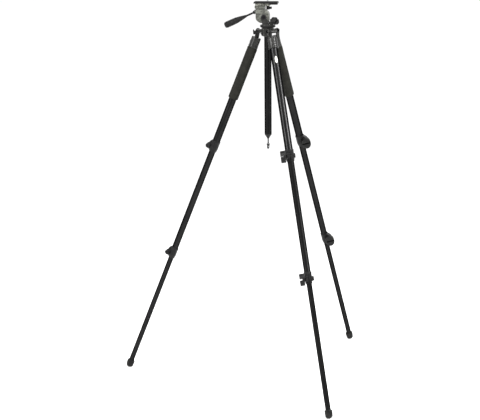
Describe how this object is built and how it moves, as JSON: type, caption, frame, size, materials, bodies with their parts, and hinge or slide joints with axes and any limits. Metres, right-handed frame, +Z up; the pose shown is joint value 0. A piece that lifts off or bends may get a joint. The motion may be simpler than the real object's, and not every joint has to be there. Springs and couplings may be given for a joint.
{
  "type": "camera tripod with a pan and tilt head",
  "caption": "Camera tripod: telescoping round legs with screw clamps, foam leg grips, a sliding centre column with a hook, and a pan and tilt head with a handle and a sliding plate.",
  "frame": {"origin": "the middle of the tripod's footprint box, on the floor, with the legs spread and fully drawn out", "axes": "+Z up; the left leg points along -X and the handle trails over it; the front leg points towards +X and -Y, the rear leg towards +X and +Y"},
  "size_m": [0.8996, 1.0342, 1.5038],
  "materials": {
    "anodised_tube": "black anodised, satin",
    "dark_casting": "black paint, satin",
    "light_casting": "light olive grey paint, satin",
    "black_plastic": "moulded black",
    "foam": "closed-cell foam, matte",
    "rubber": "black rubber",
    "steel": "zinc plated",
    "black_steel": "blackened steel",
    "badge": "pale, plain"
  },
  "bodies": {
    "shoulder": {"spider": "dark_casting", "left_pivot_bolt": "black_steel", "front_pivot_bolt": "black_steel", "rear_pivot_bolt": "black_steel"},
    "column_lock": {"column_lock_knob": "black_plastic"},
    "column": {"centre_column": "anodised_tube", "column_flange": "dark_casting", "column_end_cap": "black_plastic", "pan_base": "black_plastic"},
    "hook": {"column_hook": "black_steel"},
    "pan": {"pan_housing": "dark_casting", "tilt_axle": "black_steel"},
    "pan_lock": {"pan_lock_knob": "black_plastic"},
    "tilt": {"tilt_body": "light_casting", "plate_receiver": "light_casting"},
    "handle": {"handle_collar": "black_plastic", "handle_rod": "black_steel", "handle_grip": "rubber"},
    "plate": {"camera_plate": "black_plastic", "plate_pad": "rubber"},
    "plate_screw": {"camera_screw": "steel"},
    "plate_lock": {"plate_lock_lever": "black_plastic"},
    "left_leg": {"left_fitting": "dark_casting", "left_upper_tube": "anodised_tube", "left_upper_clamp": "black_plastic", "left_foam_grip": "foam"},
    "left_lever": {"left_angle_lever": "black_plastic"},
    "left_upper_knob": {"left_upper_clamp_knob": "black_plastic"},
    "left_middle": {"left_middle_tube": "anodised_tube", "left_lower_clamp": "black_plastic"},
    "left_lower_knob": {"left_lower_clamp_knob": "black_plastic"},
    "left_lower": {"left_lower_tube": "anodised_tube", "left_foot": "rubber"},
    "front_leg": {"front_fitting": "dark_casting", "front_upper_tube": "anodised_tube", "front_upper_clamp": "black_plastic", "front_badge": "badge"},
    "front_lever": {"front_angle_lever": "black_plastic"},
    "front_upper_knob": {"front_upper_clamp_knob": "black_plastic"},
    "front_middle": {"front_middle_tube": "anodised_tube", "front_lower_clamp": "black_plastic"},
    "front_lower_knob": {"front_lower_clamp_knob": "black_plastic"},
    "front_lower": {"front_lower_tube": "anodised_tube", "front_foot": "rubber"},
    "rear_leg": {"rear_fitting": "dark_casting", "rear_upper_tube": "anodised_tube", "rear_upper_clamp": "black_plastic", "rear_foam_grip": "foam"},
    "rear_lever": {"rear_angle_lever": "black_plastic"},
    "rear_upper_knob": {"rear_upper_clamp_knob": "black_plastic"},
    "rear_middle": {"rear_middle_tube": "anodised_tube", "rear_lower_clamp": "black_plastic"},
    "rear_lower_knob": {"rear_lower_clamp_knob": "black_plastic"},
    "rear_lower": {"rear_lower_tube": "anodised_tube", "rear_foot": "rubber"}
  },
  "joints": [
    {"name": "column_slide", "type": "slide", "parent": "shoulder", "child": "column", "axis": [0, 0, 1], "range_m": [0, 0.33]},
    {"name": "column_lock_turn", "type": "hinge", "parent": "shoulder", "child": "column_lock", "pos_m": [0.14481, 0, 1.3725], "axis": [-0.5, 0.866, 0], "range_deg": [0, 180]},
    {"name": "hook_swing", "type": "hinge", "parent": "column", "child": "hook", "pos_m": [0.14481, 0, 0.94069], "axis": [0.2588, 0.9659, 0], "range_deg": [-50, 50]},
    {"name": "pan_turn", "type": "hinge", "parent": "column", "child": "pan", "pos_m": [0.14481, 0, 1.4048], "axis": [0, 0, 1], "continuous": true},
    {"name": "pan_lock_turn", "type": "hinge", "parent": "pan", "child": "pan_lock", "pos_m": [0.14481, 0, 1.4268], "axis": [0.7431, -0.6691, 0], "range_deg": [0, 90]},
    {"name": "tilt_turn", "type": "hinge", "parent": "pan", "child": "tilt", "pos_m": [0.13181, 0, 1.43979], "axis": [0, 1, 0], "range_deg": [-40, 45]},
    {"name": "handle_twist", "type": "hinge", "parent": "tilt", "child": "handle", "pos_m": [0.09881, 0, 1.45949], "axis": [-0.9135, 0, -0.4067], "range_deg": [0, 90]},
    {"name": "plate_slide", "type": "slide", "parent": "tilt", "child": "plate", "axis": [1, 0, 0], "range_m": [-0.015, 0.015]},
    {"name": "plate_screw_turn", "type": "hinge", "parent": "plate", "child": "plate_screw", "pos_m": [0.14481, 0, 1.4927], "axis": [0, 0, 1], "continuous": true},
    {"name": "plate_lock_turn", "type": "hinge", "parent": "tilt", "child": "plate_lock", "pos_m": [0.14611, 0, 1.4727], "axis": [0, 0, 1], "range_deg": [0, 80]},
    {"name": "left_leg_fold", "type": "hinge", "parent": "shoulder", "child": "left_leg", "pos_m": [0.10481, 0, 1.386], "axis": [0, -1, 0], "range_deg": [0, 21.3]},
    {"name": "left_lever_turn", "type": "hinge", "parent": "left_leg", "child": "left_lever", "pos_m": [0.10481, 0, 1.386], "axis": [0, 1, 0], "range_deg": [0, 25]},
    {"name": "left_upper_knob_turn", "type": "hinge", "parent": "left_leg", "child": "left_upper_knob", "pos_m": [-0.08999, 0.00694, 0.93184], "axis": [-0.3178, -0.9397, 0.1265], "range_deg": [0, 180]},
    {"name": "left_lower_knob_turn", "type": "hinge", "parent": "left_middle", "child": "left_lower_knob", "pos_m": [-0.26242, 0.00612, 0.49245], "axis": [-0.3178, -0.9397, 0.1265], "range_deg": [0, 180]},
    {"name": "left_middle_slide", "type": "slide", "parent": "left_leg", "child": "left_middle", "axis": [0.3697, 0, 0.9291], "range_m": [0, 0.395]},
    {"name": "left_lower_slide", "type": "slide", "parent": "left_middle", "child": "left_lower", "axis": [0.3697, 0, 0.9291], "range_m": [0, 0.43]},
    {"name": "front_leg_fold", "type": "hinge", "parent": "shoulder", "child": "front_leg", "pos_m": [0.16481, -0.03464, 1.386], "axis": [0.866, 0.5, 0], "range_deg": [0, 21.3]},
    {"name": "front_lever_turn", "type": "hinge", "parent": "front_leg", "child": "front_lever", "pos_m": [0.16481, -0.03464, 1.386], "axis": [-0.866, -0.5, 0], "range_deg": [0, 25]},
    {"name": "front_upper_knob_turn", "type": "hinge", "parent": "front_leg", "child": "front_upper_knob", "pos_m": [0.2562, -0.20682, 0.93184], "axis": [0.9727, 0.1946, 0.1265], "range_deg": [0, 180]},
    {"name": "front_lower_knob_turn", "type": "hinge", "parent": "front_middle", "child": "front_lower_knob", "pos_m": [0.34312, -0.35573, 0.49245], "axis": [0.9727, 0.1946, 0.1265], "range_deg": [0, 180]},
    {"name": "front_middle_slide", "type": "slide", "parent": "front_leg", "child": "front_middle", "axis": [-0.1849, 0.3202, 0.9291], "range_m": [0, 0.395]},
    {"name": "front_lower_slide", "type": "slide", "parent": "front_middle", "child": "front_lower", "axis": [-0.1849, 0.3202, 0.9291], "range_m": [0, 0.43]},
    {"name": "rear_leg_fold", "type": "hinge", "parent": "shoulder", "child": "rear_leg", "pos_m": [0.16481, 0.03464, 1.386], "axis": [-0.866, 0.5, 0], "range_deg": [0, 21.3]},
    {"name": "rear_lever_turn", "type": "hinge", "parent": "rear_leg", "child": "rear_lever", "pos_m": [0.16481, 0.03464, 1.386], "axis": [0.866, -0.5, 0], "range_deg": [0, 25]},
    {"name": "rear_upper_knob_turn", "type": "hinge", "parent": "rear_leg", "child": "rear_upper_knob", "pos_m": [0.27288, 0.19072, 0.92961], "axis": [-0.2008, 0.9378, 0.2832], "range_deg": [0, 180]},
    {"name": "rear_lower_knob_turn", "type": "hinge", "parent": "rear_middle", "child": "rear_lower_knob", "pos_m": [0.35783, 0.34154, 0.49049], "axis": [-0.2008, 0.9378, 0.2832], "range_deg": [0, 180]},
    {"name": "rear_middle_slide", "type": "slide", "parent": "rear_leg", "child": "rear_middle", "axis": [-0.1849, -0.3202, 0.9291], "range_m": [0, 0.395]},
    {"name": "rear_lower_slide", "type": "slide", "parent": "rear_middle", "child": "rear_lower", "axis": [-0.1849, -0.3202, 0.9291], "range_m": [0, 0.43]}
  ]
}
